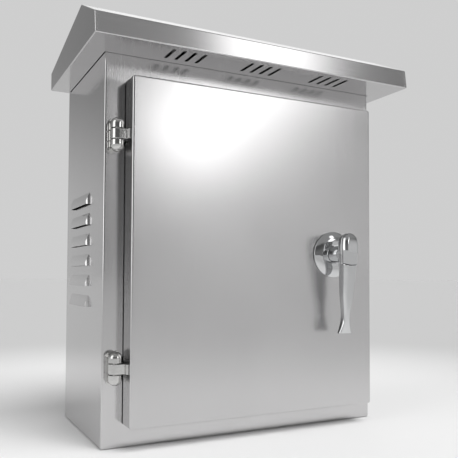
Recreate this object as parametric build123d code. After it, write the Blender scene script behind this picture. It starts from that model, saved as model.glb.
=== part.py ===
from build123d import *
import os
from math import cos, radians, sin

# Wall cabinet for outdoor use in folded stainless sheet: a case with a proud door, a gabled rain
# canopy, two outside hinges, a lever lock with a swinging key cover, and the fittings inside.
# Millimetres. X runs to the right, Y to the back, Z up. The origin is the centre of the flat base.

# Case
case_width = 400.0
case_depth = 200.0
case_height = 500.0
case_sheet = 1.2
case_bend = 2.2
frame_overlap = 15.0        # how far the door covers the front frame on each side
frame_corner = 4.0
lip_depth = 16.0            # rain lip round the front opening, folded forwards
back_sheet = 1.5
back_flange = 15.0
weld_gap = 0.2

# Louvres in both sides, pressed outwards and open downwards
louvre_count = 6
louvre_width = 96.0
louvre_height = 15.0
louvre_depth = 5.0
louvre_end = 7.0            # run of the curved end of each hood
louvre_pitch = 26.8
louvre_drop = 8.5           # middle of the louvres below the middle of the side
louvre_offset = 16.0        # louvres sit a little behind the middle of the side

# Canopy
canopy_side = 27.0          # overhang past each side of the case
canopy_front = 58.0         # overhang in front of the case
canopy_drop = 20.0          # how far the canopy comes down over the case
canopy_sheet = 1.2
canopy_bend = 1.6
canopy_gap = 0.8
fascia_height = 26.0
fascia_lean = 3.4
ridge_setback = 12.0        # ridge behind the front of the case
ridge_rise = 31.5           # ridge above the top of the fascia
slot_length = 34.0
slot_width = 4.5
slot_pitch = 13.8
slots_in_group = 4
slot_groups = 3
slot_group_pitch = 107.0
slot_setback = 27.5         # middle of the slots behind the front edge of the soffit
top_slot_setback = 45.0     # middle of the slots in the case top behind the front of the case

# Door
hinge_margin = 26.0         # door's hinge side to the side of the case
lock_margin = 20.0          # door's free side to the side of the case
bottom_margin = 27.0        # door's bottom edge above the floor of the case
top_margin = 32.0           # door's top edge below the canopy
door_depth = 28.0
door_sheet = 1.5
door_bend = 2.4
door_corner = 3.2
door_gap = 2.5              # between the door's return edge and the case
gasket_width = 12.0
gasket_gap = 0.3

# Hinges
hinge_inset = 70.0          # middle of each hinge from the end of the door
hinge_side_gap = 12.5       # pin axis to the door's side
hinge_height = 40.0
hinge_radius = 8.3
hinge_dome = 7.4
hinge_plate = 2.2
hinge_plate_gap = 0.4
hinge_step = 1.3            # gap between neighbouring knuckles
hinge_waist = 12.0
hinge_pin_radius = 3.0
pin_press_gap = 0.02
pin_run_gap = 0.06
pin_cap = 5.0               # metal left above the pin in the top knuckle
arm_thickness = 10.6
arm_foot_length = 20.0
arm_foot_thickness = 3.0
arm_foot_front = 13.6       # front end of the foot, ahead of the pin axis
screw_radius = 2.5
screw_head_radius = 4.25
screw_head_height = 3.0
screw_gap = 0.05
screw_tip_gap = 0.5

# Lock
lock_edge = 66.0            # lock axis from the door's free edge
rose_radius = 31.5
rose_rim = 1.8
rose_height = 6.5
rose_crown_radius = 13.5
rose_gasket_thickness = 0.8
rose_gasket_radius = 29.0
rose_tail_radius = 11.0
rose_tail_length = 15.0
lock_hole_gap = 0.2
lock_washer_radius = 18.0
lock_washer_thickness = 1.2
lock_nut_width = 30.0
lock_nut_height = 6.0
spindle_radius = 6.0
spindle_gap = 0.08
spindle_square = 8.0
cam_thickness = 3.0
cam_width = 20.0
cam_gap = 0.5               # cam behind the front frame
cam_tip_gap = 1.5           # cam tip short of the frame
cam_bolt_radius = 2.5
cam_bolt_length = 12.0
cam_washer_radius = 7.0
cam_washer_thickness = 1.2

# Lever, measured from the lock axis and forwards from the door face
lever_top = 28.0
lever_bottom = 106.5
lever_half_width = 12.0
lever_waist_half_width = 5.5
lever_waist_height = 89.0
lever_tail_half_width = 10.5
lever_tail_corner = 2.7
lever_ankle_rise = 6.0      # section between the tail and the waist
lever_ankle_half_width = 8.2
lever_ankle_front = 32.2
lever_shoulder = 4.0        # below the axis, where the taper starts
lever_back = 26.0
lever_front = 45.5
lever_waist_back = 23.5
lever_waist_front = 34.5
lever_tail_front = 31.0
lever_waist_corner = 3.4
lever_corner = 6.5
lever_crown = 8.0           # rounding of the head's top, seen from the side
lever_taper_steps = 3
lever_dome_stations = (0, 25, 45, 62, 76, 84)
hub_radius = 12.5
hub_gap = 0.3
cylinder_radius = 7.0
cylinder_length = 16.0
cylinder_gap = 0.06
keyway_width = 1.8
keyway_height = 8.0
keyway_depth = 7.0
cover_pivot_height = 16.5
cover_swing_radius = 31.0
cover_depth = 8.0
cover_gap = 0.5
cover_wall = 2.0
cover_boss_radius = 4.0
rivet_radius = 2.0
rivet_gap = 0.06
rivet_head_gap = 0.4        # between the lever's back and the rivet's head
rivet_head_radius = 3.6
rivet_head_height = 1.3
rivet_bite = 5.0

# Fittings inside
wall_hole_radius = 4.5
wall_hole_side = 35.0       # wall holes from the side of the case
wall_hole_end = 45.0        # wall holes from the top and the bottom of the case
plate_margin = 50.0         # mounting plate's edge to the outside of the case
plate_thickness = 3.0
plate_corner = 5.0
plate_standoff = 14.0
boss_inset = 15.0           # bosses and their screws from the plate's edge
boss_radius = 7.0
boss_bore_depth = 12.0
plate_screw_radius = 2.5
plate_screw_length = 13.0
plate_head_radius = 4.8
plate_head_depth = 2.3      # the countersunk head, flush with the plate's face
plate_head_gap = 0.1
hex_socket_width = 3.0
hex_socket_depth = 1.5
stud_radius = 3.0
stud_collar_radius = 6.0
stud_gap = 0.1
nut_width = 10.0
nut_height = 5.0
washer_radius = 6.0
washer_thickness = 1.6
earth_x = -120.0
earth_collar = 4.0
earth_thread = 20.0
door_earth_rise = 33.0      # above the door's bottom edge
door_earth_collar = 3.0
door_earth_thread = 9.0

# Cable entry in the floor
entry_width = 180.0
entry_depth = 60.0
entry_corner = 5.0
entry_offset = 45.0         # the entries lie behind the middle of the floor
gland_plate_width = 210.0
gland_plate_depth = 86.0
gland_plate_thickness = 1.5
gland_gasket_thickness = 2.0
gland_inset = 7.5           # gland screws from the plate's edge
gland_stud_radius = 2.5
gland_stud_length = 14.0
gland_nut_width = 8.0
gland_nut_height = 4.0
entry_count = 3
entry_pitch = 55.0
grommet_bore = 10.0
grommet_neck = 14.0
grommet_flange = 17.0
grommet_lip = 2.0

# Worked out from the sizes above
case_front = -case_depth / 2
case_back = case_depth / 2
frame_inside = case_front + case_sheet
soffit = case_height - canopy_drop
louvre_stack = (louvre_count - 1) * louvre_pitch + louvre_height
louvre_first_slit = case_height / 2 - louvre_drop - louvre_stack / 2
door_left = -case_width / 2 + hinge_margin
door_right = case_width / 2 - lock_margin
door_bottom = bottom_margin
door_top = soffit - top_margin
door_centre = (door_left + door_right) / 2
door_middle = (door_bottom + door_top) / 2
door_back = case_front - door_gap
door_face = door_back - door_depth
door_inside = door_face + door_sheet
opening_width = door_right - door_left - 2 * frame_overlap
opening_height = door_top - door_bottom - 2 * frame_overlap
lip_front = case_front - lip_depth
pin_x = door_left - hinge_side_gap
pin_y = case_front - hinge_plate - hinge_plate_gap - hinge_radius
hinge_centres = {"upper": door_top - hinge_inset, "lower": door_bottom + hinge_inset}
knuckle_height = hinge_height / 3
lock_x = door_right - lock_edge
lock_z = door_middle
rose_back = door_face - rose_gasket_thickness
rose_front = rose_back - rose_height
head_face = door_face - lever_front + cover_depth
cover_pivot_z = lock_z + cover_pivot_height
cylinder_back = head_face + cylinder_length
cam_front = frame_inside + cam_gap
cam_back = cam_front + cam_thickness
back_inside = case_back - back_sheet
plate_back = back_inside - plate_standoff
plate_front = plate_back - plate_thickness
plate_width = case_width - 2 * plate_margin
plate_height = case_height - 2 * plate_margin
earth_height = plate_margin / 2
floor_top = case_sheet
gland_bottom = floor_top + gland_gasket_thickness
gland_top = gland_bottom + gland_plate_thickness


def block(x0, x1, y0, y1, z0, z1):
    """Block given by its two ends along each axis."""
    centre = Pos((x0 + x1) / 2, (y0 + y1) / 2, (z0 + z1) / 2)
    return centre * Box(abs(x1 - x0), abs(y1 - y0), abs(z1 - z0))


def bar_x(radius, y, z, x0, x1):
    """Round bar along X."""
    return Pos((x0 + x1) / 2, y, z) * Rot(0, 90, 0) * Cylinder(radius, abs(x1 - x0))


def bar_y(radius, x, z, y0, y1):
    """Round bar along Y."""
    return Pos(x, (y0 + y1) / 2, z) * Rot(90, 0, 0) * Cylinder(radius, abs(y1 - y0))


def bar_z(radius, x, y, z0, z1):
    """Round bar along Z."""
    return Pos(x, y, (z0 + z1) / 2) * Cylinder(radius, abs(z1 - z0))


def upright_slab(width, height, corner, x, z, y0, y1):
    """Slab with rounded corners that faces the front, between y0 and y1."""
    outline = Plane.XZ * RectangleRounded(width, height, corner)
    slab = extrude(outline, amount=abs(y1 - y0))
    return Pos(x, max(y0, y1), z) * slab


def flat_slab(width, depth, corner, x, y, z0, z1):
    """Slab with rounded corners that lies flat, between z0 and z1."""
    slab = extrude(RectangleRounded(width, depth, corner), amount=abs(z1 - z0))
    return Pos(x, y, min(z0, z1)) * slab


def hex_nut(width, height, bore):
    """Hexagon nut on the Z axis, standing on z = 0, with its corners turned down on top."""
    corner_radius = width / 2 / cos(radians(30))
    turned = Cylinder(corner_radius, height, align=(Align.CENTER, Align.CENTER, Align.MIN))
    turned = chamfer(turned.edges().sort_by(Axis.Z)[-1], (corner_radius - width / 2) * 0.9)
    prism = extrude(RegularPolygon(corner_radius, 6), amount=height)
    hole = Cylinder(bore, height, align=(Align.CENTER, Align.CENTER, Align.MIN))
    return (prism & turned) - hole


def washer(radius, thickness, bore):
    """Flat washer on the Z axis, standing on z = 0."""
    disc = Cylinder(radius, thickness, align=(Align.CENTER, Align.CENTER, Align.MIN))
    return disc - Cylinder(bore, thickness, align=(Align.CENTER, Align.CENTER, Align.MIN))


def facing_back(piece):
    """Turns a piece that stands on z = 0 so that it stands on y = 0 and points to the back."""
    return Rot(-90, 0, 0) * piece


def spots(spacing_x, spacing_z, x, z):
    """Corners of a rectangle in the XZ plane."""
    return [(x + i * spacing_x / 2, z + j * spacing_z / 2) for i in (-1, 1) for j in (-1, 1)]


def vent_slots(y, z):
    """Cutters for the groups of vent slots, which run from front to back in a level sheet."""
    cutters = []
    slot = extrude(SlotOverall(slot_length, slot_width, rotation=90), amount=4 * case_sheet)
    for group in range(slot_groups):
        group_x = (group - (slot_groups - 1) / 2) * slot_group_pitch
        for n in range(slots_in_group):
            slot_x = group_x + (n - (slots_in_group - 1) / 2) * slot_pitch
            cutters.append(Pos(slot_x, y, z - 2 * case_sheet) * slot)
    return cutters


def case_form(inset, back):
    """Body of the case drawn in by an inset on the front, sides, top and bottom."""
    form = block(
        -case_width / 2 + inset, case_width / 2 - inset,
        case_front + inset, back,
        inset, case_height - inset,
    )
    front_edges = form.faces().sort_by(Axis.Y)[0].edges()
    return fillet(form.edges().filter_by(Axis.Y) + front_edges, case_bend - inset)


def louvre_form(side, slit_z, inset, root):
    """One louvre hood: a bulge that rises from the sheet and is cut off square at its slit.

    The root is how far the form reaches back into the sheet.
    """
    wall = side * case_width / 2
    reach = louvre_depth - inset
    height = louvre_height - inset
    half = louvre_width / 2 - inset
    with BuildSketch(Plane.XZ) as profile:
        with BuildLine():
            Polyline((0, height), (-root, height), (-root, 0), (reach, 0))
            ThreePointArc((reach, 0), (0.64 * reach, 0.5 * height), (0, height))
        make_face()
    with BuildSketch(Plane.XY) as plan:
        with BuildLine():
            tip = half - louvre_end
            Polyline((0, half), (-root, half), (-root, -half), (0, -half))
            ThreePointArc((0, -half), (0.7 * reach, -half + 0.3 * louvre_end), (reach, -tip))
            Line((reach, -tip), (reach, tip))
            ThreePointArc((reach, tip), (0.7 * reach, half - 0.3 * louvre_end), (0, half))
        make_face()
    bulge = extrude(profile.sketch, amount=half, both=True) & extrude(plan.sketch, amount=height)
    if side < 0:
        bulge = bulge.mirror(Plane.YZ)
    return Pos(wall, louvre_offset, slit_z) * bulge


def louvre_set(inset, root):
    """All the hoods of both sides, as outer forms (inset 0) or as the hollows inside them."""
    return [
        louvre_form(side, louvre_first_slit + n * louvre_pitch, inset, root)
        for side in (-1, 1)
        for n in range(louvre_count)
    ]


def make_case_shell():
    shell = case_form(0, case_back) - case_form(case_sheet, case_back + case_sheet)
    shell += louvre_set(0, case_sheet / 2)
    shell -= louvre_set(case_sheet, 2 * case_sheet)
    frame_outline = (opening_width, opening_height, frame_corner, door_centre, door_middle)
    lip_outline = (
        opening_width + 2 * case_sheet, opening_height + 2 * case_sheet, frame_corner + case_sheet,
        door_centre, door_middle,
    )
    shell += upright_slab(*lip_outline, lip_front, frame_inside)
    shell -= upright_slab(*frame_outline, lip_front - case_sheet, frame_inside + case_sheet)
    flange_back = back_inside
    flange_front = back_inside - case_sheet
    flange = block(
        -case_width / 2 + case_sheet, case_width / 2 - case_sheet, flange_front, flange_back,
        case_sheet, case_height - case_sheet,
    )
    shell += flange - block(
        -case_width / 2 + back_flange, case_width / 2 - back_flange,
        flange_front - case_sheet, flange_back + case_sheet,
        back_flange, case_height - back_flange,
    )
    shell -= vent_slots(case_front + top_slot_setback, case_height)
    shell -= flat_slab(
        entry_width, entry_depth, entry_corner, 0, entry_offset, -case_sheet, 2 * case_sheet
    )
    for centre in hinge_centres.values():
        for z in hinge_screw_heights(centre):
            radius = screw_radius + screw_gap
            shell -= bar_y(radius, pin_x, z, case_front - case_sheet, frame_inside + case_sheet)
    return shell


def make_back_panel():
    inset = case_sheet + weld_gap
    panel = block(
        -case_width / 2 + inset, case_width / 2 - inset, back_inside, case_back,
        inset, case_height - inset,
    )
    panel = fillet(panel.edges().filter_by(Axis.Y), case_bend - case_sheet)
    spacing_x = case_width - 2 * wall_hole_side
    spacing_z = case_height - 2 * wall_hole_end
    for x, z in spots(spacing_x, spacing_z, 0, case_height / 2):
        panel -= bar_y(wall_hole_radius, x, z, back_inside - 1, case_back + 1)
    return panel


def canopy_profile(inset):
    """Gable outline of the canopy seen from the side, drawn in by an inset."""
    front = case_front - canopy_front
    eaves = soffit + fascia_height
    points = [
        (case_back, soffit),
        (front, soffit),
        (front + fascia_lean, eaves),
        (case_front + ridge_setback, eaves + ridge_rise),
        (case_back, eaves),
    ]
    outline = Plane.YZ * make_face(Polyline(*points, close=True))
    if inset > 0:
        outline = offset(outline, -inset, kind=Kind.INTERSECTION)
    return outline


def make_canopy():
    half = case_width / 2 + canopy_side
    outer = extrude(canopy_profile(0), amount=half, both=True)
    outer = fillet(outer.edges(), canopy_bend)
    hood = outer - extrude(canopy_profile(canopy_sheet), amount=half - canopy_sheet, both=True)
    hood -= block(
        -case_width / 2 - canopy_gap, case_width / 2 + canopy_gap,
        case_front - canopy_gap, case_back + 1,
        soffit - 1, case_height + canopy_gap,
    )
    hood -= vent_slots(case_front - canopy_front + slot_setback, soffit)
    return hood


def make_door_panel():
    tray = block(door_left, door_right, door_face, door_back, door_bottom, door_top)
    tray = fillet(tray.edges().filter_by(Axis.Y), door_corner)
    tray = fillet(tray.faces().sort_by(Axis.Y)[0].edges(), door_bend)
    hollow = block(
        door_left + door_sheet, door_right - door_sheet, door_inside, door_back + door_sheet,
        door_bottom + door_sheet, door_top - door_sheet,
    )
    tray -= fillet(hollow.edges().filter_by(Axis.Y), door_corner - door_sheet)
    tray -= bar_y(rose_tail_radius + lock_hole_gap, lock_x, lock_z, door_face - 1, door_inside + 1)
    for centre in hinge_centres.values():
        hole = bar_x(screw_radius + screw_gap, arm_screw_y(), centre, door_left - 1, door_left + 3)
        tray -= hole
    return tray


def make_door_gasket():
    """Foam strip inside the door that closes on the rain lip all round."""
    middle_width = opening_width + case_sheet
    middle_height = opening_height + case_sheet
    inside_corner = 3.0
    strip = upright_slab(
        middle_width + gasket_width, middle_height + gasket_width, inside_corner + gasket_width,
        door_centre, door_middle, door_inside, lip_front - gasket_gap,
    )
    return strip - upright_slab(
        middle_width - gasket_width, middle_height - gasket_width, inside_corner,
        door_centre, door_middle, door_inside - 1, lip_front + 1,
    )


def hinge_screw_heights(centre):
    """Heights of the two screws that hold one fixed hinge bracket."""
    return [centre - knuckle_height, centre + knuckle_height]


def arm_screw_y():
    """Place of the hinge arm's screw, in the middle of the arm's thickness."""
    return pin_y - hinge_radius + arm_thickness / 2


def make_hinge_bracket(centre):
    """Fixed half of a hinge: a base plate with a domed knuckle at each end."""
    bracket = upright_slab(
        2 * hinge_radius, hinge_height, 3.0, pin_x, centre, case_front - hinge_plate, case_front
    )
    for end in (-1, 1):
        inner = centre + end * (knuckle_height / 2 + hinge_step / 2)
        outer = centre + end * hinge_height / 2
        knuckle = bar_z(hinge_radius, pin_x, pin_y, inner, outer)
        rim = knuckle.edges().filter_by(GeomType.CIRCLE).sort_by(Axis.Z)[-1 if end > 0 else 0]
        knuckle = fillet(rim, hinge_dome)
        neck_top = outer - end * hinge_dome / 2
        knuckle += block(
            pin_x - hinge_waist / 2, pin_x + hinge_waist / 2, pin_y, case_front, inner, neck_top
        )
        bracket += knuckle
    bottom = centre - hinge_height / 2
    pin_top = centre + hinge_height / 2 - pin_cap
    bracket -= bar_z(hinge_pin_radius + pin_press_gap, pin_x, pin_y, bottom - 1, pin_top)
    for z in hinge_screw_heights(centre):
        radius = screw_radius + screw_gap
        bracket -= bar_y(radius, pin_x, z, bracket_screw_tip(), case_front + 1)
    return bracket


def bracket_screw_tip():
    """Depth to which the bracket screws reach, just short of the hinge pin."""
    return pin_y + hinge_pin_radius + screw_tip_gap


def make_hinge_pin(centre):
    bottom = centre - hinge_height / 2
    top = centre + hinge_height / 2 - pin_cap - screw_tip_gap
    pin = bar_z(hinge_pin_radius, pin_x, pin_y, bottom, top)
    return chamfer(pin.edges().filter_by(GeomType.CIRCLE), 0.5)


def make_hinge_arm(centre):
    """Moving half of a hinge: a knuckle with an arm and a foot against the door's side."""
    half = knuckle_height / 2 - hinge_step / 2
    low = centre - half
    high = centre + half
    arm_front = pin_y - hinge_radius
    foot_front = pin_y - arm_foot_front
    arm = bar_z(hinge_radius, pin_x, pin_y, low, high)
    arm += block(pin_x, door_left, arm_front, arm_front + arm_thickness, low, high)
    foot = block(
        door_left - arm_foot_thickness, door_left, foot_front, foot_front + arm_foot_length,
        low, high,
    )
    front_edges = foot.edges().filter_by(Axis.Z).sort_by(Axis.X)[:2]
    arm += fillet(front_edges, arm_foot_thickness * 0.6)
    arm -= bar_z(hinge_pin_radius + pin_run_gap, pin_x, pin_y, low - 1, high + 1)
    arm -= bar_x(screw_radius + screw_gap, arm_screw_y(), centre, arm_screw_tip(), door_left + 1)
    return arm


def arm_screw_tip():
    """Depth to which the arm screw reaches, just short of the hinge pin."""
    return pin_x + hinge_pin_radius + screw_tip_gap + 0.5


def make_bracket_screws():
    """Pan-head screws that hold the hinge brackets from inside the case."""
    screws = []
    tip = bracket_screw_tip() + screw_tip_gap
    for centre in hinge_centres.values():
        for z in hinge_screw_heights(centre):
            head = bar_y(screw_head_radius, pin_x, z, frame_inside, frame_inside + screw_head_height)
            head = fillet(head.edges().filter_by(GeomType.CIRCLE).sort_by(Axis.Y)[-1], 1.2)
            screws.append(head + bar_y(screw_radius, pin_x, z, tip, frame_inside))
    return screws


def make_arm_screws():
    """Pan-head screws that hold the hinge arms from inside the door's return."""
    screws = []
    seat = door_left + door_sheet
    tip = arm_screw_tip() + screw_tip_gap
    for centre in hinge_centres.values():
        y = arm_screw_y()
        head = bar_x(screw_head_radius, y, centre, seat, seat + screw_head_height)
        head = fillet(head.edges().filter_by(GeomType.CIRCLE).sort_by(Axis.X)[-1], 1.2)
        screws.append(head + bar_x(screw_radius, y, centre, tip, seat))
    return screws


def turned_about_lock(points, arcs=()):
    """Solid of revolution about the lock axis, from radius and forward reach off the door face.

    Each arc is the number of the point that it starts from and its middle point.
    """
    middles = dict(arcs)
    with BuildSketch(Plane.XY) as section:
        with BuildLine():
            for n, start in enumerate(points):
                end = points[(n + 1) % len(points)]
                first = (start[0], -start[1])
                last = (end[0], -end[1])
                if n in middles:
                    middle = (middles[n][0], -middles[n][1])
                    ThreePointArc(first, middle, last)
                else:
                    Line(first, last)
        make_face()
    return Pos(lock_x, door_face, lock_z) * revolve(section.sketch, Axis.Y)


def make_lock_rose():
    """Domed rose with the threaded tail that passes through the door."""
    bore = spindle_radius + spindle_gap
    base = rose_gasket_thickness
    rim = base + rose_rim
    crown = base + rose_height
    shoulder = rose_radius * 0.8
    points = [
        (bore, -rose_tail_length), (rose_tail_radius, -rose_tail_length), (rose_tail_radius, base),
        (rose_radius, base), (rose_radius, rim), (rose_crown_radius, crown), (bore, crown),
    ]
    return turned_about_lock(points, [(4, (shoulder, rim + (crown - rim) * 0.68))])


def make_rose_gasket():
    inner = rose_tail_radius + lock_hole_gap
    top = rose_gasket_thickness
    return turned_about_lock(
        [(inner, 0), (rose_gasket_radius, 0), (rose_gasket_radius, top), (inner, top)]
    )


def make_lock_washer():
    ring = washer(lock_washer_radius, lock_washer_thickness, rose_tail_radius + lock_hole_gap)
    return Pos(lock_x, door_inside, lock_z) * facing_back(ring)


def make_lock_nut():
    nut = hex_nut(lock_nut_width, lock_nut_height, rose_tail_radius + screw_gap)
    return Pos(lock_x, door_inside + lock_washer_thickness, lock_z) * facing_back(nut)


def make_lock_spindle():
    """Shaft from the lever to the cam, round in the rose and square under the cam."""
    front = cylinder_back + 0.5
    shaft = bar_y(spindle_radius, lock_x, lock_z, front, cam_front)
    half = spindle_square / 2
    shaft += block(
        lock_x - half, lock_x + half, cam_front, cam_back - screw_gap, lock_z - half, lock_z + half
    )
    depth = cam_back + cam_washer_thickness - cam_bolt_length - 1
    return shaft - bar_y(cam_bolt_radius + screw_gap, lock_x, lock_z, depth, cam_back + 1)


def make_lock_cam():
    """Flat cam on the spindle that turns behind the front frame."""
    reach = door_centre + opening_width / 2 - cam_tip_gap - lock_x
    half = cam_width / 2
    plate = bar_y(half, lock_x, lock_z, cam_front, cam_back)
    tongue = upright_slab(
        reach, cam_width * 0.8, 2.0, lock_x + reach / 2, lock_z, cam_front, cam_back
    )
    hole = spindle_square / 2 + screw_gap
    return plate + tongue - block(
        lock_x - hole, lock_x + hole, cam_front - 1, cam_back + 1, lock_z - hole, lock_z + hole
    )


def make_cam_bolt():
    """Hexagon bolt and washer that hold the cam on the spindle."""
    seat = cam_back + cam_washer_thickness
    ring = washer(cam_washer_radius, cam_washer_thickness, cam_bolt_radius + screw_gap)
    head = extrude(RegularPolygon(4.6, 6), amount=3.5)
    shank_tip = seat - cam_bolt_length
    bolt = Pos(lock_x, seat, lock_z) * facing_back(head)
    bolt += bar_y(cam_bolt_radius, lock_x, lock_z, shank_tip, seat)
    return [bolt, Pos(lock_x, cam_back, lock_z) * facing_back(ring)]


def lever_section(height, half_width, back, front, corner):
    """Level section through the lever, at a height from the lock axis."""
    place = Plane.XY.offset(height) * Pos(0, -(back + front) / 2)
    return place * RectangleRounded(2 * half_width, front - back, corner)


def lever_form():
    """Lever and key cover in one, lofted from the flared tail up to the domed head."""
    waist = -lever_waist_height
    foot = lever_section(
        -lever_bottom, lever_tail_half_width, lever_waist_back, lever_tail_front, lever_tail_corner
    )
    ankle = lever_section(
        -lever_bottom + lever_ankle_rise, lever_ankle_half_width, lever_waist_back,
        lever_ankle_front, lever_tail_corner,
    )
    sections = [foot, ankle]
    for step in range(lever_taper_steps + 1):
        share = step / lever_taper_steps
        sections.append(lever_section(
            waist + share * (lever_waist_height - lever_shoulder),
            lever_waist_half_width + share * (lever_half_width - lever_waist_half_width),
            lever_waist_back + share * (lever_back - lever_waist_back),
            lever_waist_front + share * (lever_front - lever_waist_front),
            lever_waist_corner + share * (lever_corner - lever_waist_corner),
        ))
    dome_base = lever_top - lever_half_width
    for degrees in lever_dome_stations:
        angle = radians(degrees)
        half_width = lever_half_width * cos(angle)
        inset = lever_crown * (1 - cos(angle))
        half_depth = (lever_front - lever_back) / 2 - inset
        sections.append(lever_section(
            dome_base + lever_half_width * sin(angle), half_width,
            lever_back + inset, lever_front - inset, min(lever_corner, 0.8 * min(half_width, half_depth)),
        ))
    return Pos(lock_x, door_face, lock_z) * loft(sections)


def cover_sweep(radius, back):
    """Disc about the key cover's pivot, from the given depth out past the front of the lever."""
    return bar_y(radius, lock_x, cover_pivot_z, door_face - lever_front - 5, back)


def make_handle_lever():
    """Cast lever with its hub, bored for the key cylinder, the spindle and the cover's rivet."""
    lever = lever_form() - cover_sweep(cover_swing_radius + cover_gap, head_face)
    hub_front = door_face - lever_back - 3
    lever += bar_y(hub_radius, lock_x, lock_z, hub_front, rose_front - hub_gap)
    lever -= bar_y(cylinder_radius + cylinder_gap, lock_x, lock_z, head_face - 1, cylinder_back + 0.2)
    lever -= bar_y(spindle_radius + pin_press_gap, lock_x, lock_z, cylinder_back - 1, door_face)
    rivet_hole = bar_y(rivet_radius + rivet_gap, lock_x, cover_pivot_z, head_face - 1, door_face)
    return lever - rivet_hole


def make_key_cover():
    """Cap over the key cylinder, hollow behind, with a boss for its rivet."""
    back = head_face - cover_gap
    cover = lever_form() & cover_sweep(cover_swing_radius, back)
    pocket_floor = door_face - lever_front + 2 * cover_wall
    pocket_half = lever_half_width - 2 * cover_wall
    pocket_top = cover_pivot_z - cover_boss_radius - 1
    pocket_low = cover_pivot_z - cover_swing_radius + 2 * cover_wall
    pocket_height = pocket_top - pocket_low
    cover -= upright_slab(
        2 * pocket_half, pocket_height, 3.0, lock_x, (pocket_top + pocket_low) / 2,
        pocket_floor, back + 1,
    )
    hole_end = back - rivet_bite - 0.2
    return cover - bar_y(rivet_radius + pin_press_gap, lock_x, cover_pivot_z, hole_end, back + 1)


def make_cover_rivet():
    """Rivet fast in the key cover, turning in the lever and headed over behind it."""
    lever_rear = door_face - lever_back
    front = head_face - cover_gap - rivet_bite
    head_start = lever_rear + rivet_head_gap
    shank = bar_y(rivet_radius, lock_x, cover_pivot_z, front, head_start)
    head_end = head_start + rivet_head_height
    head = bar_y(rivet_head_radius, lock_x, cover_pivot_z, head_start, head_end)
    head = fillet(head.edges().filter_by(GeomType.CIRCLE).sort_by(Axis.Y)[-1], 0.9)
    return shank + head


def make_key_cylinder():
    """Lock cylinder in the lever's head, with its keyway."""
    plug = bar_y(cylinder_radius, lock_x, lock_z, head_face, cylinder_back)
    plug = chamfer(plug.edges().filter_by(GeomType.CIRCLE), 0.4)
    return plug - block(
        lock_x - keyway_width / 2, lock_x + keyway_width / 2,
        head_face - 1, head_face + keyway_depth,
        lock_z - keyway_height / 2, lock_z + keyway_height / 2,
    )


def plate_screw_spots():
    """Places of the four bosses that carry the mounting plate, with their screws."""
    spacing_x = plate_width - 2 * boss_inset
    spacing_z = plate_height - 2 * boss_inset
    return spots(spacing_x, spacing_z, 0, case_height / 2)


def countersunk(gap):
    """Head of a plate screw on the Z axis, flat side down on z = 0, or its seat with a gap."""
    align = (Align.CENTER, Align.CENTER, Align.MIN)
    return Cone(plate_head_radius + gap, plate_screw_radius + gap, plate_head_depth, align=align)


def make_mounting_plate():
    plate = upright_slab(
        plate_width, plate_height, plate_corner, 0, case_height / 2, plate_front, plate_back
    )
    seat = countersunk(plate_head_gap)
    for x, z in plate_screw_spots():
        plate -= bar_y(plate_screw_radius + plate_head_gap, x, z, plate_front - 1, plate_back + 1)
        plate -= Pos(x, plate_front, z) * facing_back(seat)
    return plate


def make_plate_bosses():
    """Threaded bosses welded to the back panel."""
    bosses = []
    for x, z in plate_screw_spots():
        boss = bar_y(boss_radius, x, z, plate_back, back_inside)
        bore_end = plate_back + boss_bore_depth
        boss -= bar_y(plate_screw_radius + screw_gap, x, z, plate_back - 1, bore_end)
        bosses.append(boss)
    return bosses


def make_plate_screws():
    """Countersunk socket screws, flush with the face of the mounting plate."""
    head = countersunk(0)
    corner_radius = hex_socket_width / 2 / cos(radians(30))
    socket = extrude(RegularPolygon(corner_radius, 6), amount=hex_socket_depth)
    screws = []
    for x, z in plate_screw_spots():
        tip = plate_front + plate_screw_length
        screw = Pos(x, plate_front, z) * facing_back(head - socket)
        screw += bar_y(plate_screw_radius, x, z, plate_front + plate_head_depth, tip)
        screws.append(screw)
    return screws


def nut_with_washer():
    """Small nut on its washer, fused, standing on z = 0."""
    ring = washer(washer_radius, washer_thickness, stud_radius + screw_gap)
    return ring + Pos(0, 0, washer_thickness) * hex_nut(nut_width, nut_height, stud_radius + screw_gap)


def make_earth_stud():
    """Earth stud welded to the back panel below the mounting plate, its nut left to the lead."""
    shoulder = back_inside - earth_collar
    stud = bar_y(stud_collar_radius, earth_x, earth_height, shoulder, back_inside)
    return stud + bar_y(stud_radius, earth_x, earth_height, shoulder - earth_thread, shoulder)


def make_door_earth_stud():
    """Earth stud welded to the inside of the door."""
    z = door_bottom + door_earth_rise
    shoulder = door_inside + door_earth_collar
    stud = bar_y(stud_collar_radius, earth_x, z, door_inside, shoulder)
    return stud + bar_y(stud_radius, earth_x, z, shoulder, shoulder + door_earth_thread)


def make_door_earth_nut():
    z = door_bottom + door_earth_rise
    shoulder = door_inside + door_earth_collar
    return Pos(earth_x, shoulder, z) * facing_back(nut_with_washer())


def gland_spots():
    """Places of the gland plate's studs: the corners and the middles of the long sides."""
    half_x = gland_plate_width / 2 - gland_inset
    half_y = gland_plate_depth / 2 - gland_inset
    return [(x, entry_offset + y) for x in (-half_x, 0, half_x) for y in (-half_y, half_y)]


def entry_places():
    """Places of the cable entries along the gland plate."""
    return [(n - (entry_count - 1) / 2) * entry_pitch for n in range(entry_count)]


def make_gland_gasket():
    middle = (0, entry_offset)
    ring = flat_slab(
        gland_plate_width, gland_plate_depth, entry_corner, *middle, floor_top, gland_bottom
    )
    ring -= flat_slab(
        entry_width, entry_depth, entry_corner, *middle, floor_top - 1, gland_bottom + 1
    )
    for x, y in gland_spots():
        ring -= bar_z(gland_stud_radius + stud_gap, x, y, floor_top - 1, gland_bottom + 1)
    return ring


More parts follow.
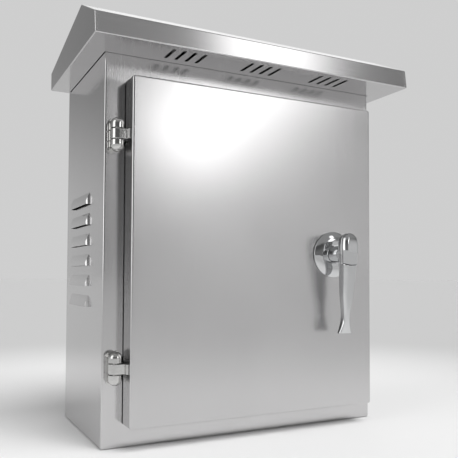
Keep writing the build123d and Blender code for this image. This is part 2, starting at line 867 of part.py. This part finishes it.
def make_gland_plate():
    plate = flat_slab(
        gland_plate_width, gland_plate_depth, entry_corner, 0, entry_offset, gland_bottom, gland_top
    )
    for x, y in gland_spots():
        plate -= bar_z(gland_stud_radius + stud_gap, x, y, gland_bottom - 1, gland_top + 1)
    for x in entry_places():
        plate -= bar_z(grommet_neck, x, entry_offset, gland_bottom - 1, gland_top + 1)
    return plate


def make_gland_studs():
    """Studs welded to the floor that hold the gland plate."""
    return [
        bar_z(gland_stud_radius, x, y, floor_top, floor_top + gland_stud_length)
        for x, y in gland_spots()
    ]


def make_gland_nuts():
    nut = hex_nut(gland_nut_width, gland_nut_height, gland_stud_radius + screw_gap)
    return [Pos(x, y, gland_top) * nut for x, y in gland_spots()]


def make_cable_grommets():
    """Rubber rings that line the cable entries, snapped over the plate's edge."""
    low = gland_bottom - grommet_lip
    high = gland_top + grommet_lip
    points = [
        (grommet_bore, low), (grommet_flange, low), (grommet_flange, gland_bottom),
        (grommet_neck, gland_bottom), (grommet_neck, gland_top), (grommet_flange, gland_top),
        (grommet_flange, high), (grommet_bore, high),
    ]
    section = Plane.XZ * make_face(Polyline(*points, close=True))
    ring = revolve(section, Axis.Z)
    return [Pos(x, entry_offset, 0) * ring for x in entry_places()]


def save(name, piece):
    """Writes one node: a single solid, or a group of like solids."""
    solids = []
    for item in piece if isinstance(piece, list) else [piece]:
        solids.extend(item.solids())
    shape = solids[0] if len(solids) == 1 else Compound(children=solids)
    export_step(shape, os.path.join("parts", name + ".step"))


save("case_shell", make_case_shell())
save("back_panel", make_back_panel())
save("canopy", make_canopy())
save("door_panel", make_door_panel())
save("door_gasket", make_door_gasket())
for place, centre in hinge_centres.items():
    save("hinge_bracket_" + place, make_hinge_bracket(centre))
    save("hinge_pin_" + place, make_hinge_pin(centre))
    save("hinge_arm_" + place, make_hinge_arm(centre))
save("hinge_bracket_screws", make_bracket_screws())
save("hinge_arm_screws", make_arm_screws())
save("lock_rose", make_lock_rose())
save("rose_gasket", make_rose_gasket())
save("lock_washer", make_lock_washer())
save("lock_nut", make_lock_nut())
save("lock_spindle", make_lock_spindle())
save("lock_cam", make_lock_cam())
save("cam_bolt", make_cam_bolt())
save("handle_lever", make_handle_lever())
save("key_cover", make_key_cover())
save("cover_rivet", make_cover_rivet())
save("key_cylinder", make_key_cylinder())
save("mounting_plate", make_mounting_plate())
save("plate_bosses", make_plate_bosses())
save("plate_screws", make_plate_screws())
save("earth_stud", make_earth_stud())
save("door_earth_stud", make_door_earth_stud())
save("door_earth_nut", make_door_earth_nut())
save("gland_gasket", make_gland_gasket())
save("gland_plate", make_gland_plate())
save("gland_studs", make_gland_studs())
save("gland_nuts", make_gland_nuts())
save("cable_grommets", make_cable_grommets())
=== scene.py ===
import math

import bmesh
import bpy
from mathutils import Matrix, Vector


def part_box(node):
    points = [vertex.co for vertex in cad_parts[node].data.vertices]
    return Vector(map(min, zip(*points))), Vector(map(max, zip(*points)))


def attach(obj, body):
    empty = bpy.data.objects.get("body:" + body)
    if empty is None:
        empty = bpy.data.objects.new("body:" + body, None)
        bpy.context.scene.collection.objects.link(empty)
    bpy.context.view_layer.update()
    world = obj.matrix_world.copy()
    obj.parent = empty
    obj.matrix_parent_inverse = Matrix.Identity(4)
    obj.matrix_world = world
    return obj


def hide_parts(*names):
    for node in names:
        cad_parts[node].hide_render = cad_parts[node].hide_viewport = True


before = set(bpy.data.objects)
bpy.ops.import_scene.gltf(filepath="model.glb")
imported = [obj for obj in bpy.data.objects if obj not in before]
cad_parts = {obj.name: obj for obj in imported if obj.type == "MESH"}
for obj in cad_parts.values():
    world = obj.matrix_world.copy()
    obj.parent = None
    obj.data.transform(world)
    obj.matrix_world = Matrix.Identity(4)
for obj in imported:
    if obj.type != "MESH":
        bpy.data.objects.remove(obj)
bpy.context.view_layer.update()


# The case: one wrapper of 1.2 mm stainless sheet, with a fine upright grain from the belt and
# twelve pressed louvres. The welds round its back are ground flush, across the grain, and the
# strip above the door is rubbed down again where the canopy is tacked on.
louvre_depth = 0.005
case_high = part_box("case_shell")[1]
case_half_width = case_high.x - louvre_depth
door_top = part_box("door_panel")[1].z
just_behind_the_front = -0.0995
ground_width = 0.0055
ground_fade = 0.0008
ground_dulling = 0.06
rubbed_fade = 0.004
rubbed_dulling = 0.12
sheet_light = (0.632, 0.627, 0.630, 1.0)
sheet_dark = (0.590, 0.585, 0.588, 1.0)
case_rough = (0.13, 0.17)
grain_up = (1.0, 1.0, 0.012)
grain_across = (0.012, 1.0, 1.0)
no_grain = (1.0, 1.0, 1.0)
broad_grain_share = 0.22
cloud_share = 0.35
tone_swing = (0.32, 0.68)
sheen_swing = (0.35, 0.65)
grain_depth = 0.00004
grain_strength = 0.2


def start_finish(name, metallic, roughness):
    finish = bpy.data.materials.new(name)
    finish.use_nodes = True
    shader = finish.node_tree.nodes["Principled BSDF"]
    shader.inputs["Metallic"].default_value = metallic
    shader.inputs["Roughness"].default_value = roughness
    return finish, shader


def add(finish, kind, **settings):
    node = finish.node_tree.nodes.new(kind)
    for name, value in settings.items():
        setattr(node, name, value)
    return node


def wire(finish, source, target):
    finish.node_tree.links.new(source, target)


def place_on_part(finish, stretch=no_grain):
    where = add(finish, "ShaderNodeTexCoord")
    drawn = add(finish, "ShaderNodeMapping")
    drawn.inputs["Scale"].default_value = stretch
    wire(finish, where.outputs["Object"], drawn.inputs["Vector"])
    return drawn.outputs["Vector"]


def noise(finish, per_metre, detail, roughness, stretch=no_grain, warp=0.0):
    cloud = add(finish, "ShaderNodeTexNoise")
    cloud.inputs["Scale"].default_value = per_metre
    cloud.inputs["Detail"].default_value = detail
    cloud.inputs["Roughness"].default_value = roughness
    cloud.inputs["Distortion"].default_value = warp
    wire(finish, place_on_part(finish, stretch), cloud.inputs["Vector"])
    return cloud.outputs["Fac"]


def spread(finish, source, found, wanted=(0.0, 1.0)):
    """Stretches the found range of the source to the wanted range, with soft ends."""
    band = add(finish, "ShaderNodeMapRange", interpolation_type="SMOOTHSTEP")
    for name, value in zip(("From Min", "From Max", "To Min", "To Max"), (*found, *wanted)):
        band.inputs[name].default_value = value
    wire(finish, source, band.inputs["Value"])
    return band.outputs["Result"]


def sums(finish, operation, one, other=0.0):
    maths = add(finish, "ShaderNodeMath", operation=operation)
    for socket, value in zip(maths.inputs, (one, other)):
        if isinstance(value, float):
            socket.default_value = value
        else:
            wire(finish, value, socket)
    return maths.outputs["Value"]


def between(finish, share, one, other):
    """A number that goes from one to the other as the share goes from 0 to 1."""
    step = sums(finish, "SUBTRACT", other, one)
    return sums(finish, "ADD", one, sums(finish, "MULTIPLY", step, share))


def blend_tones(finish, share, dark, light):
    mixer = add(finish, "ShaderNodeMix", data_type="RGBA")
    mixer.inputs[6].default_value = dark
    mixer.inputs[7].default_value = light
    wire(finish, share, mixer.inputs[0])
    return mixer.outputs[2]


def relief(finish, shader, height, depth, strength):
    bump = add(finish, "ShaderNodeBump")
    bump.inputs["Strength"].default_value = strength
    bump.inputs["Distance"].default_value = depth
    wire(finish, height, bump.inputs["Height"])
    wire(finish, bump.outputs["Normal"], shader.inputs["Normal"])


def where_on_part(finish):
    """How far a point is out to either side, to the back and up."""
    place = add(finish, "ShaderNodeSeparateXYZ")
    wire(finish, place_on_part(finish), place.inputs["Vector"])
    return sums(finish, "ABSOLUTE", place.outputs["X"]), place.outputs["Y"], place.outputs["Z"]


def beyond(finish, source, edge, fade=ground_fade):
    """1 where the source is more than the edge, 0 where it is less."""
    return spread(finish, source, (edge - fade, edge + fade))


def short_of(finish, source, edge):
    """1 where the source is less than the edge, 0 where it is more."""
    return spread(finish, source, (edge - ground_fade, edge + ground_fade), (1.0, 0.0))


def welds_round_the_back(finish):
    side, depth, height = where_on_part(finish)
    upright = beyond(finish, side, case_half_width - ground_width)
    low = short_of(finish, height, ground_width)
    high = beyond(finish, height, case_high.z - ground_width)
    edges = sums(finish, "MAXIMUM", upright, sums(finish, "MAXIMUM", low, high))
    return sums(finish, "MULTIPLY", edges, beyond(finish, depth, case_high.y - ground_width))


def strip_above_the_door(finish):
    depth, height = where_on_part(finish)[1:]
    above = beyond(finish, height, door_top, rubbed_fade)
    return sums(finish, "MULTIPLY", above, short_of(finish, depth, just_behind_the_front))


def grained_sheet(name, stretch, cross, rough, welds=None, rubbed=None):
    finish, shader = start_finish(name, metallic=1.0, roughness=rough[0])
    fine = noise(finish, per_metre=1400.0, detail=4.0, roughness=0.62, stretch=stretch)
    broad = noise(finish, per_metre=260.0, detail=3.0, roughness=0.5, stretch=stretch)
    clouds = noise(finish, per_metre=9.0, detail=2.0, roughness=0.5, warp=0.4)
    grain = between(finish, broad_grain_share, fine, broad)
    if welds:
        band = welds(finish)
        ground = noise(finish, per_metre=900.0, detail=4.0, roughness=0.65, stretch=cross)
        grain = between(finish, band, grain, ground)
    tone = between(finish, cloud_share, grain, clouds)
    colour = blend_tones(finish, spread(finish, tone, tone_swing), sheet_dark, sheet_light)
    sheen = spread(finish, tone, sheen_swing, rough)
    if welds:
        sheen = sums(finish, "ADD", sheen, sums(finish, "MULTIPLY", band, ground_dulling))
    if rubbed:
        dulled = sums(finish, "MULTIPLY", rubbed(finish), rubbed_dulling)
        sheen = sums(finish, "ADD", sheen, dulled)
    wire(finish, colour, shader.inputs["Base Color"])
    wire(finish, sheen, shader.inputs["Roughness"])
    relief(finish, shader, grain, grain_depth, grain_strength)
    return finish


def dress(finish, *names):
    for name in names:
        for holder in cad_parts[name].material_slots:
            holder.link = "OBJECT"
            holder.material = finish


case_sheet = grained_sheet("upright_grain_stainless", grain_up, grain_across, case_rough,
                           welds_round_the_back, strip_above_the_door)
dress(case_sheet, "case_shell", "back_panel")


# The canopy: a gabled hood folded from the same sheet, with its grain from side to side. Its
# front corners are closed by welds that are ground flush, and it is tacked to the case.
canopy_half_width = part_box("canopy")[1].x
corner_weld_rear = -0.1505


def welds_at_the_corners(finish):
    side, depth = where_on_part(finish)[:2]
    outer = beyond(finish, side, canopy_half_width - ground_width)
    return sums(finish, "MULTIPLY", outer, short_of(finish, depth, corner_weld_rear))


canopy_sheet = grained_sheet("lengthwise_grain_stainless", grain_across, grain_up, case_rough,
                             welds_at_the_corners)
dress(canopy_sheet, "canopy")


# The mounting plate: 3 mm galvanised sheet on four welded bosses, held by flush screws.
# The zinc has grown in flat crystals, each of its own tone and sheen.
zinc_light = (0.62, 0.64, 0.66, 1.0)
zinc_dark = (0.42, 0.44, 0.46, 1.0)
zinc_rough = (0.5, 0.33)
zinc_dust_share = 0.3
spangle_per_metre = 85.0


def cells(finish, per_metre):
    cell = add(finish, "ShaderNodeTexVoronoi")
    cell.inputs["Scale"].default_value = per_metre
    wire(finish, place_on_part(finish), cell.inputs["Vector"])
    return cell


zinc, zinc_shader = start_finish("spangled_zinc", metallic=1.0, roughness=zinc_rough[0])
crystal_tone = add(zinc, "ShaderNodeSeparateColor")
wire(zinc, cells(zinc, spangle_per_metre).outputs["Color"], crystal_tone.inputs["Color"])
zinc_dust = noise(zinc, per_metre=900.0, detail=3.0, roughness=0.55)
zinc_mix = between(zinc, zinc_dust_share, crystal_tone.outputs["Red"], zinc_dust)
zinc_colour = blend_tones(zinc, zinc_mix, zinc_dark, zinc_light)
wire(zinc, zinc_colour, zinc_shader.inputs["Base Color"])
wire(zinc, spread(zinc, zinc_mix, (0.0, 1.0), zinc_rough), zinc_shader.inputs["Roughness"])
relief(zinc, zinc_shader, zinc_mix, depth=0.00003, strength=0.5)
dress(zinc, "mounting_plate")


# The fixings: steel bosses, countersunk screws and nuts, all bright zinc plated.
# The plating is slightly blue and carries the marks of the tool that drove it.
plating_light = (0.66, 0.68, 0.70, 1.0)
plating_dark = (0.48, 0.50, 0.53, 1.0)
plating_rough = (0.38, 0.2)
noise_swing = (0.3, 0.7)
plating, plating_shader = start_finish("bright_zinc_plating", metallic=1.0, roughness=plating_rough[1])
plating_marks = noise(plating, per_metre=700.0, detail=5.0, roughness=0.65)
plating_colour = blend_tones(plating, plating_marks, plating_dark, plating_light)
plating_sheen = spread(plating, plating_marks, noise_swing, plating_rough)
wire(plating, plating_colour, plating_shader.inputs["Base Color"])
wire(plating, plating_sheen, plating_shader.inputs["Roughness"])
relief(plating, plating_shader, plating_marks, depth=0.00005, strength=0.4)
dress(plating, "plate_bosses", "plate_screws", "gland_nuts", "hinge_bracket_screws",
      "hinge_arm_screws", "lock_washer", "lock_nut", "door_earth_nut", "lock_spindle", "lock_cam",
      "cam_bolt")


# The studs: plated steel with rolled threads, welded on at the root. One earth stud stands on its
# collar below the mounting plate and one inside the door; six short ones hold the gland plate.
steps_round = 28
rows_per_turn = 6
thread_depth_share = 0.6
collar_radius = 0.006
collar_edge = 0.0004
case_earth_collar = 0.004
door_earth_collar = 0.003
earth_radius = 0.003
earth_pitch = 0.001
gland_radius = 0.0025
gland_pitch = 0.0008
sharp_corner = 32.0
to_the_front = -1
to_the_back = 1


def ring(shape, place, radius, height):
    """A ring of points about the local Z axis, at a height on it."""
    points = []
    for step in range(steps_round):
        turn = 2 * math.pi * step / steps_round
        reach = radius(turn) if callable(radius) else radius
        point = Vector((reach * math.cos(turn), reach * math.sin(turn), height))
        points.append(shape.verts.new(place @ point))
    return points


def skin(shape, rows):
    """A closed skin over a stack of rings."""
    for low, high in zip(rows, rows[1:]):
        for step in range(steps_round):
            after = (step + 1) % steps_round
            shape.faces.new((low[step], low[after], high[after], high[step]))
    shape.faces.new(rows[-1])
    shape.faces.new(list(reversed(rows[0])))


def threaded_rod(shape, place, radius, pitch, length):
    """A rod along local Z from 0 to its length, with a single-start V thread and a blunt tip."""
    depth = thread_depth_share * pitch
    count = round(length / pitch * rows_per_turn)
    rows = []
    for row in range(count + 1):
        height = length * row / count
        blunt = min(1.0, (length - height) / pitch)

        def reach(turn):
            phase = (height / pitch - turn / (2 * math.pi)) % 1.0
            crest = 1.0 - abs(2.0 * phase - 1.0)
            return radius - depth + depth * crest * blunt

        rows.append(ring(shape, place, reach, height))
    skin(shape, rows)


def turned_collar(shape, place, thickness):
    """A low collar along local Z from 0 to its thickness, with a small chamfer at the top."""
    skin(shape, [
        ring(shape, place, collar_radius, 0.0),
        ring(shape, place, collar_radius, thickness - collar_edge),
        ring(shape, place, collar_radius - collar_edge, thickness),
    ])


def new_piece(name, shape, finish, body, replaced):
    bmesh.ops.recalc_face_normals(shape, faces=shape.faces[:])
    mesh = bpy.data.meshes.new(name)
    shape.to_mesh(mesh)
    shape.free()
    mesh.shade_smooth()
    mesh.set_sharp_from_angle(angle=math.radians(sharp_corner))
    mesh.materials.append(finish)
    piece = bpy.data.objects.new(name, mesh)
    bpy.context.scene.collection.objects.link(piece)
    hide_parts(replaced)
    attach(piece, body)
    return piece


def pointing(facing, x, y, z):
    """A placement whose local Z axis points to the front or to the back."""
    turned = Vector((0, facing, 0)).to_track_quat("Z", "Y").to_matrix().to_4x4()
    return Matrix.Translation((x, y, z)) @ turned


def earth_stud(name, body, replaced, facing, collar):
    low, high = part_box(replaced)
    middle = (low + high) / 2
    root = high.y if facing == to_the_front else low.y
    shape = bmesh.new()
    turned_collar(shape, pointing(facing, middle.x, root, middle.z), collar)
    threaded_rod(shape, pointing(facing, middle.x, root + facing * collar, middle.z),
                 earth_radius, earth_pitch, high.y - collar - low.y)
    new_piece(name, shape, plating, body, replaced)


earth_stud("earth_stud_threaded", "case", "earth_stud", to_the_front, case_earth_collar)
earth_stud("door_earth_stud_threaded", "door", "door_earth_stud", to_the_back, door_earth_collar)

low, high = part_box("gland_studs")
shape = bmesh.new()
for x in (low.x + gland_radius, (low.x + high.x) / 2, high.x - gland_radius):
    for y in (low.y + gland_radius, high.y - gland_radius):
        place = Matrix.Translation((x, y, low.z))
        threaded_rod(shape, place, gland_radius, gland_pitch, high.z - low.z)
new_piece("gland_studs_threaded", shape, plating, "case", "gland_studs")


# The cable entry: a stainless gland plate over the floor opening, drawn down on six studs
# against a rubber gasket, with three moulded rubber rings for the cables.
rubber_light = (0.040, 0.040, 0.042, 1.0)
rubber_dark = (0.016, 0.016, 0.017, 1.0)
rubber_rough = (0.48, 0.68)
flat_sheet_rough = (0.215, 0.255)
rubber, rubber_shader = start_finish("moulded_black_rubber", metallic=0.0, roughness=rubber_rough[0])
rubber_bloom = noise(rubber, per_metre=160.0, detail=4.0, roughness=0.6)
rubber_skin = noise(rubber, per_metre=2600.0, detail=2.0, roughness=0.5)
rubber_colour = blend_tones(rubber, rubber_bloom, rubber_dark, rubber_light)
rubber_sheen = spread(rubber, rubber_bloom, noise_swing, rubber_rough)
wire(rubber, rubber_colour, rubber_shader.inputs["Base Color"])
wire(rubber, rubber_sheen, rubber_shader.inputs["Roughness"])
relief(rubber, rubber_shader, rubber_skin, depth=0.00006, strength=0.6)
dress(rubber, "gland_gasket", "cable_grommets", "rose_gasket")
plate_sheet = grained_sheet("plain_grain_stainless", grain_across, grain_up, flat_sheet_rough)
dress(plate_sheet, "gland_plate")


# The hinges: cast stainless halves with domed knuckles and rounded edges, tumbled and
# polished, on plain pins. Screws hold them from inside the case and the door.
polish_light = (0.655, 0.652, 0.640, 1.0)
polish_dark = (0.565, 0.563, 0.555, 1.0)
polish_rough = (0.16, 0.08)
casting_edge = 0.0009
casting_corner = 40.0
edge_steps = 3
same_point = 0.000002
same_flat = 0.6
polish, polish_shader = start_finish("polished_cast_stainless", metallic=1.0, roughness=polish_rough[1])
cast_waves = noise(polish, per_metre=240.0, detail=3.0, roughness=0.5)
cast_wear = noise(polish, per_metre=900.0, detail=4.0, roughness=0.6)
worn_share = spread(polish, cast_wear, noise_swing)
polish_colour = blend_tones(polish, worn_share, polish_dark, polish_light)
polish_sheen = spread(polish, cast_wear, noise_swing, polish_rough)
wire(polish, polish_colour, polish_shader.inputs["Base Color"])
wire(polish, polish_sheen, polish_shader.inputs["Roughness"])
relief(polish, polish_shader, cast_waves, depth=0.00018, strength=0.5)
dress(polish, "hinge_pin_upper", "hinge_pin_lower")


def cast_copy(node, body, finish):
    """A piece with the shape of a node, without the lines that cut up its flat faces."""
    shape = bmesh.new()
    shape.from_mesh(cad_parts[node].data)
    bmesh.ops.remove_doubles(shape, verts=shape.verts[:], dist=same_point)
    bmesh.ops.dissolve_limit(shape, angle_limit=math.radians(same_flat),
                             verts=shape.verts[:], edges=shape.edges[:])
    return new_piece(node + "_softened", shape, finish, body, node)


def round_off(piece, edge):
    rounding = piece.modifiers.new("rounded_edges", "BEVEL")
    rounding.width = edge
    rounding.segments = edge_steps
    rounding.limit_method = "ANGLE"
    rounding.angle_limit = math.radians(casting_corner)
    rounding.harden_normals = True


for half, body in (("hinge_bracket_", "case"), ("hinge_arm_", "door")):
    for level in ("upper", "lower"):
        round_off(cast_copy(half + level, body, polish), casting_edge)


# The door: a tray folded from one sheet, its corners welded and ground, hung proud of the case.
# Foam poured into its return closes on the rain lip of the case.
foam_light = (0.075, 0.075, 0.078, 1.0)
foam_dark = (0.022, 0.022, 0.024, 1.0)
foam_rough = 0.9
foam_pores_per_metre = 1500.0
pore_swing = (0.05, 0.5)
pore_shade_depth = (0.35, 1.0)
foam_swing = (0.1, 0.7)
door_sheet = grained_sheet("door_grain_stainless", grain_up, grain_across, flat_sheet_rough)
dress(door_sheet, "door_panel")
foam, foam_shader = start_finish("poured_foam_seal", metallic=0.0, roughness=foam_rough)
# The relief dents the foam's pores, and the colour is also painted darker in those hollows: painted
# shade in the pores, on top of the foam's random lumpy tone.
foam_pores = cells(foam, foam_pores_per_metre).outputs["Distance"]
pore_dents_and_painted_shade = spread(foam, foam_pores, pore_swing, pore_shade_depth)
foam_lumps = noise(foam, per_metre=120.0, detail=3.0, roughness=0.55)
foam_relief_and_painted_pore_shade = sums(foam, "MULTIPLY", pore_dents_and_painted_shade, foam_lumps)
foam_colour_with_painted_pore_shade = blend_tones(foam, spread(foam, foam_relief_and_painted_pore_shade, foam_swing), foam_dark, foam_light)
wire(foam, foam_colour_with_painted_pore_shade, foam_shader.inputs["Base Color"])
relief(foam, foam_shader, foam_relief_and_painted_pore_shade, depth=0.0003, strength=0.7)
dress(foam, "door_gasket")


# The lock: rose, lever and key cover are chromed die castings. The rose clamps a thin gasket to
# the door, the lever turns in it, and the cover swings on a rivet over the key way.
chrome_light = (0.655, 0.660, 0.665, 1.0)
chrome_dark = (0.615, 0.620, 0.628, 1.0)
chrome_rough = (0.065, 0.035)
chrome_swing = (0.35, 0.7)
chrome_edge = 0.0005
lever_skin_step = 0.0005
buffing_pull = 0.5
buffing_passes = 30
chrome, chrome_shader = start_finish("chrome_plate", metallic=1.0, roughness=chrome_rough[1])
chrome_waves = noise(chrome, per_metre=90.0, detail=2.0, roughness=0.45)
chrome_film = noise(chrome, per_metre=520.0, detail=5.0, roughness=0.65)
film_share = spread(chrome, chrome_film, noise_swing)
chrome_colour = blend_tones(chrome, film_share, chrome_dark, chrome_light)
chrome_sheen = spread(chrome, chrome_film, chrome_swing, chrome_rough)
wire(chrome, chrome_colour, chrome_shader.inputs["Base Color"])
wire(chrome, chrome_sheen, chrome_shader.inputs["Roughness"])
relief(chrome, chrome_shader, chrome_waves, depth=0.0003, strength=0.3)
dress(chrome, "cover_rivet")
round_off(cast_copy("lock_rose", "door", chrome), chrome_edge)
round_off(cast_copy("key_cover", "key_flap", chrome), chrome_edge)
lever = cast_copy("handle_lever", "handle", chrome)
cast_skin = lever.modifiers.new("cast_skin", "REMESH")
cast_skin.mode = "VOXEL"
cast_skin.voxel_size = lever_skin_step
cast_skin.use_smooth_shade = True
buffing = lever.modifiers.new("buffed_edges", "SMOOTH")
buffing.factor = buffing_pull
buffing.iterations = buffing_passes


# The key cylinder: a turned brass plug in the lever, behind the cover, with its key slot.
# Brass goes dull and brown where the key does not rub it.
brass_light = (0.78, 0.58, 0.27, 1.0)
brass_dark = (0.42, 0.29, 0.12, 1.0)
brass_rough = (0.42, 0.22)
brass_swing = (0.25, 0.65)
brass, brass_shader = start_finish("turned_brass", metallic=1.0, roughness=brass_rough[1])
brass_age = noise(brass, per_metre=480.0, detail=4.0, roughness=0.6)
rubbed_share = spread(brass, brass_age, brass_swing)
brass_colour = blend_tones(brass, rubbed_share, brass_dark, brass_light)
brass_sheen = spread(brass, brass_age, noise_swing, brass_rough)
wire(brass, brass_colour, brass_shader.inputs["Base Color"])
wire(brass, brass_sheen, brass_shader.inputs["Roughness"])
relief(brass, brass_shader, brass_age, depth=0.00005, strength=0.5)
dress(brass, "key_cylinder")


# The floor: a plain pale studio floor, painted matt, that keeps the cabinet's shadow. It isn't
# part of the object. Its colour carries a painted pool of light: paler close to the cabinet, under the
# lamp, and darker further off.
# The near and far colours paint a pool of lamp light on the floor close to the cabinet.
floor_near_painted_light = (0.80, 0.80, 0.80, 1.0)
floor_far_painted_dimming = (0.54, 0.54, 0.54, 1.0)
painted_light_fade = (0.4, 1.2)
floor_reach = 30.0
floor_sides = 96
floor_drop = 0.0004
floor_rough = 0.9
floor_shine = 0.1
floor_mesh = bpy.data.meshes.new("studio_floor")
outline = bmesh.new()
bmesh.ops.create_circle(outline, cap_ends=True, segments=floor_sides, radius=floor_reach)
outline.to_mesh(floor_mesh)
outline.free()
floor = bpy.data.objects.new("studio_floor", floor_mesh)
bpy.context.scene.collection.objects.link(floor)
floor.location.z = -floor_drop
floor_paint, floor_shader = start_finish("matt_floor_paint", metallic=0.0, roughness=floor_rough)
floor_shader.inputs["Specular IOR Level"].default_value = floor_shine
# The colour fades with distance from the middle: painted light near the cabinet, painted dimming far
# off.
distance = add(floor_paint, "ShaderNodeVectorMath", operation="LENGTH")
wire(floor_paint, place_on_part(floor_paint), distance.inputs[0])
painted_light_share = spread(floor_paint, distance.outputs["Value"], painted_light_fade)
floor_colour_with_painted_light = blend_tones(floor_paint, painted_light_share, floor_near_painted_light, floor_far_painted_dimming)
wire(floor_paint, floor_colour_with_painted_light, floor_shader.inputs["Base Color"])
floor_mesh.materials.append(floor_paint)


# The studio: an even pale room, dim overhead, with three soft lights at the front right, a tall
# one at the left, one behind, and dim stretches of wall between them. The camera itself sees the
# room plain and pale, and a broad lamp high at the front right throws the shadow.
room_seen = 0.62
room_level = 0.65
room_overhead = 0.32
wall_top = 5.0
ceiling_start = 19.0
corner_power = 4.0
lamp_level = 2.5
lamp_width = 40.0
lamp_azimuth = 24.0
lamp_elevation = 60.0
# Each soft light: azimuth, elevation, tilt, half its width, half its height, its core and level.
soft_lights = (
    (27.8, 17.6, 37.0, 10.4, 5.2, 0.85, 2.45),
    (22.6, 13.3, 0.0, 3.4, 4.2, 0.75, 1.8),
    (33.9, 33.5, 0.0, 6.6, 9.0, 0.3, 2.1),
    (-80.0, 16.0, 0.0, 22.0, 44.0, 0.6, 1.4),
    (152.0, 24.0, 0.0, 24.0, 18.0, 0.4, 0.8),
)
# Each dim stretch of wall: azimuth, elevation, tilt, half its width, half its height, its core
# and the share that it takes away.
dim_walls = (
    (-18.5, -8.0, 0.0, 39.2, 38.0, 0.8, 0.72),
    (-144.0, 6.0, 0.0, 34.0, 50.0, 0.3, 0.4),
    (56.0, 20.0, 0.0, 22.0, 14.0, 0.3, 0.4),
    (98.0, 20.0, 0.0, 26.0, 50.0, 0.3, 0.4),
)
room = bpy.data.worlds.new("studio_room")
bpy.context.scene.world = room
room.use_nodes = True
room_glow = room.node_tree.nodes["Background"]
room_glow.inputs["Color"].default_value = (1.0, 1.0, 1.0, 1.0)
look = add(room, "ShaderNodeTexCoord")
axes = add(room, "ShaderNodeSeparateXYZ")
wire(room, look.outputs["Generated"], axes.inputs["Vector"])


def towards(azimuth, elevation):
    turn = math.radians(azimuth)
    rise = math.radians(elevation)
    flat = math.cos(rise)
    return Vector((math.sin(turn) * flat, -math.cos(turn) * flat, math.sin(rise)))


def along(direction):
    """How far the look of a point in the room goes along a direction."""
    aim = add(room, "ShaderNodeVectorMath", operation="DOT_PRODUCT")
    wire(room, look.outputs["Generated"], aim.inputs[0])
    aim.inputs[1].default_value = direction
    return aim.outputs["Value"]


def power_of(value, power):
    return sums(room, "POWER", sums(room, "ABSOLUTE", value), power)


def patch(azimuth, elevation, tilt, wide, tall, core):
    """1 in the core of a patch of the room with round corners, and 0 outside the patch."""
    middle = towards(azimuth, elevation)
    turn = math.radians(azimuth)
    side = Vector((math.cos(turn), math.sin(turn), 0.0))
    rise = side.cross(-middle)
    lean = math.radians(tilt)
    across = (side * math.cos(lean) + rise * math.sin(lean)) / math.sin(math.radians(wide))
    upward = (rise * math.cos(lean) - side * math.sin(lean)) / math.sin(math.radians(tall))
    both = sums(room, "ADD", power_of(along(across), corner_power),
                power_of(along(upward), corner_power))
    reach = sums(room, "POWER", both, 1.0 / corner_power)
    facing = sums(room, "GREATER_THAN", along(middle), 0.0)
    return sums(room, "MULTIPLY", spread(room, reach, (core, 1.0), (1.0, 0.0)), facing)


rising = (math.sin(math.radians(wall_top)), math.sin(math.radians(ceiling_start)))
glow = spread(room, axes.outputs["Z"], rising, (room_level, room_overhead))
for *patch_place, taken in dim_walls:
    kept = sums(room, "SUBTRACT", 1.0, sums(room, "MULTIPLY", patch(*patch_place), taken))
    glow = sums(room, "MULTIPLY", glow, kept)
for *patch_place, strength in soft_lights:
    glow = sums(room, "ADD", glow, sums(room, "MULTIPLY", patch(*patch_place), strength))
seen = add(room, "ShaderNodeLightPath").outputs["Is Camera Ray"]
unseen = sums(room, "SUBTRACT", 1.0, seen)
plain = sums(room, "MULTIPLY", seen, room_seen)
glow = sums(room, "ADD", sums(room, "MULTIPLY", glow, unseen), plain)
wire(room, glow, room_glow.inputs["Strength"])

key_lamp = bpy.data.lights.new("key_softbox", "SUN")
key_lamp.energy = lamp_level
key_lamp.angle = math.radians(lamp_width)
key = bpy.data.objects.new("key_softbox", key_lamp)
lamp_side = towards(lamp_azimuth, lamp_elevation)
key.rotation_euler = lamp_side.to_track_quat("Z", "Y").to_euler()
key.visible_glossy = False
bpy.context.scene.collection.objects.link(key)


# The camera: the photograph's own place, low and to the left of the door, turned to the right.
# Its lens and shift are worked out in the photograph's own picture points.
picture_side = 458.0
picture_focus = 628.521
picture_axis_x = 244.819
picture_axis_y = 251.34
film_side = 36.0
eye = Vector((-0.3988, -0.8482, 0.2086))
yaw = 0.482
pitch = 0.038
roll = 0.003
forward = Vector((
    math.sin(yaw) * math.cos(pitch),
    math.cos(yaw) * math.cos(pitch),
    math.sin(pitch),
))
level_right = Vector((math.cos(yaw), -math.sin(yaw), 0.0))
level_up = level_right.cross(forward)
right = level_right * math.cos(roll) + level_up * math.sin(roll)
up = level_up * math.cos(roll) - level_right * math.sin(roll)
lens = bpy.data.cameras.new("camera")
lens.sensor_width = film_side
lens.lens = picture_focus / picture_side * film_side
lens.shift_x = (picture_side / 2 - picture_axis_x) / picture_side
lens.shift_y = (picture_axis_y - picture_side / 2) / picture_side
camera = bpy.data.objects.new("camera", lens)
camera.matrix_world = Matrix((
    (right.x, up.x, -forward.x, eye.x),
    (right.y, up.y, -forward.y, eye.y),
    (right.z, up.z, -forward.z, eye.z),
    (0.0, 0.0, 0.0, 1.0),
))
bpy.context.scene.collection.objects.link(camera)
bpy.context.scene.camera = camera
bpy.context.scene.view_settings.view_transform = "Standard"
